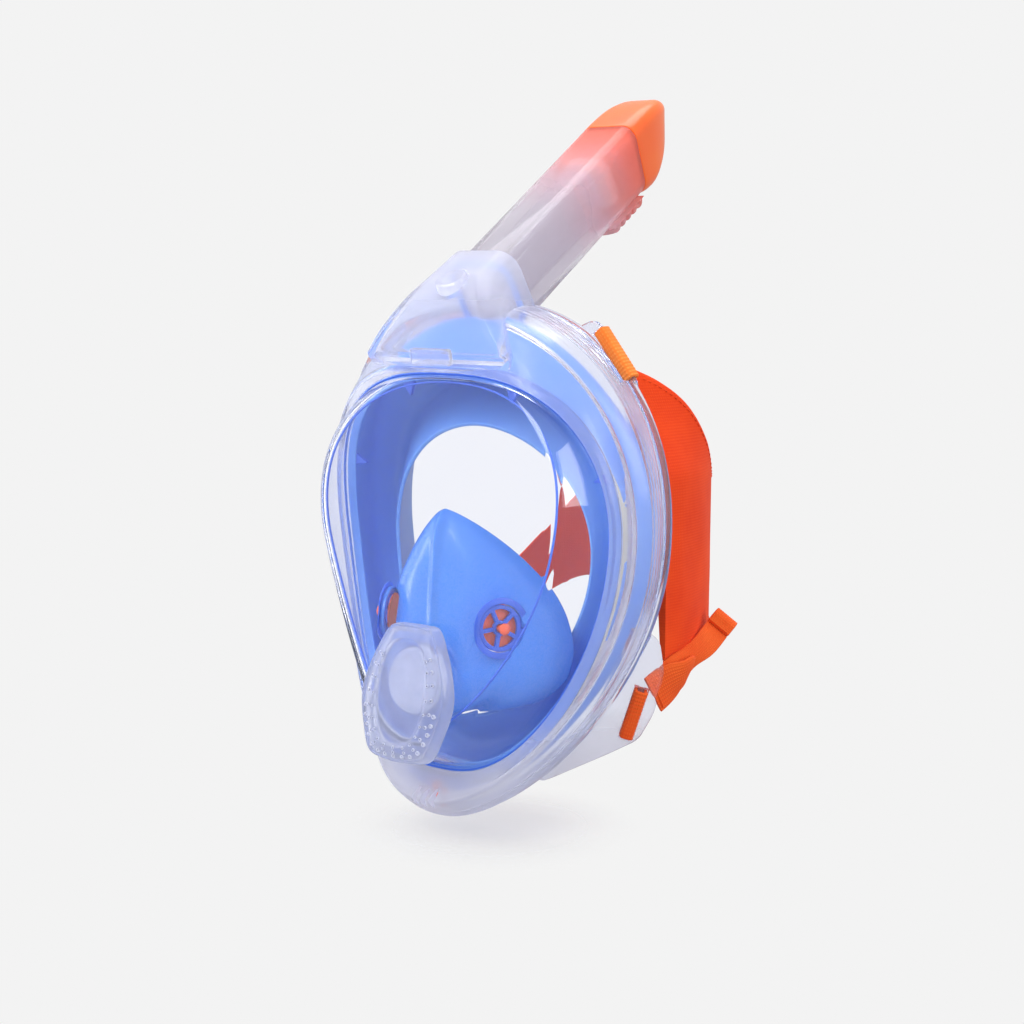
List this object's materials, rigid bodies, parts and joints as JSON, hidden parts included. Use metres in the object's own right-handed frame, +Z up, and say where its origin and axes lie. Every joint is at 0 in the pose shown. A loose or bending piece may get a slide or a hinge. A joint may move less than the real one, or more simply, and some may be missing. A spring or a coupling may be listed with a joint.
{
  "type": "snorkel mask",
  "caption": "Full-face snorkel mask: clear visor in a clear rim, silicone skirt with a nose-and-mouth pocket and valves, lift-off dry-top snorkel and an elastic headband.",
  "frame": {"origin": "centre of the face opening, where the wearer's face sits between brow and chin", "axes": "+Z up, along the long way of the mask; the wearer looks along -Y, so +Y points out of the face opening to the wearer's head; +X is the wearer's left"},
  "size_m": [0.1486, 0.1677, 0.2774],
  "materials": {
    "lens": "polished clear polycarbonate",
    "clear_plastic": "clear moulded plastic, lightly frosted on the rim and chin",
    "blue_silicone": "soft satin silicone",
    "orange_silicone": "soft satin silicone",
    "white_silicone": "milky silicone",
    "white_plastic": "satin moulded plastic",
    "orange_plastic": "satin moulded plastic",
    "headband_fabric": "knitted elastic",
    "webbing": "ribbed woven webbing"
  },
  "bodies": {
    "mask": {"visor_lens": "lens", "front_bezel": "clear_plastic", "rear_rim": "clear_plastic", "face_skirt": "blue_silicone", "nose_pocket": "blue_silicone", "inhale_seat_right": "blue_silicone", "inhale_seat_left": "blue_silicone", "speak_seat": "white_plastic", "speak_cover": "clear_plastic", "drain_seat": "white_plastic", "brow_clip": "clear_plastic", "headband": "headband_fabric", "upper_webbing_left": "webbing", "upper_webbing_right": "webbing", "lower_loop_left": "webbing", "lower_loop_right": "webbing", "lower_webbing_left": "webbing", "lower_webbing_right": "webbing"},
    "snorkel": {"snorkel_tube": "clear_plastic", "air_duct": "clear_plastic", "float_chamber": "orange_plastic", "float_seal": "blue_silicone", "top_cap": "orange_plastic", "outlet_guard": "clear_plastic", "base_gasket": "blue_silicone"},
    "float": {"dry_top_float": "white_plastic"},
    "release_button": {"release_button": "clear_plastic"},
    "inhale_membrane_left": {"inhale_membrane_left": "orange_silicone"},
    "inhale_membrane_right": {"inhale_membrane_right": "orange_silicone"},
    "speak_membrane": {"speak_membrane": "white_silicone"},
    "drain_membrane": {"drain_membrane": "orange_silicone"}
  },
  "joints": [
    {"name": "snorkel_lift_off", "type": "slide", "parent": "mask", "child": "snorkel", "axis": [0, 0.8387, 0.5446], "range_m": [0, 0.03]},
    {"name": "float_rise", "type": "slide", "parent": "snorkel", "child": "float", "axis": [0, 0.8387, 0.5446], "range_m": [0, 0.0045]},
    {"name": "release_press", "type": "slide", "parent": "mask", "child": "release_button", "axis": [0, 0.5446, -0.8387], "range_m": [0, 0.0018], "stiffness_N_per_m": 600},
    {"name": "inhale_open_left", "type": "slide", "parent": "mask", "child": "inhale_membrane_left", "axis": [-0.9119, 0.406, -0.0599], "range_m": [0, 0.002], "stiffness_N_per_m": 20},
    {"name": "inhale_open_right", "type": "slide", "parent": "mask", "child": "inhale_membrane_right", "axis": [0.9119, 0.406, -0.0599], "range_m": [0, 0.002], "stiffness_N_per_m": 20},
    {"name": "speak_open", "type": "slide", "parent": "mask", "child": "speak_membrane", "axis": [0, -0.9792, 0.2028], "range_m": [0, 0.002], "stiffness_N_per_m": 20},
    {"name": "drain_open", "type": "slide", "parent": "mask", "child": "drain_membrane", "axis": [0, -1, 0], "range_m": [0, 0.001], "stiffness_N_per_m": 20}
  ]
}
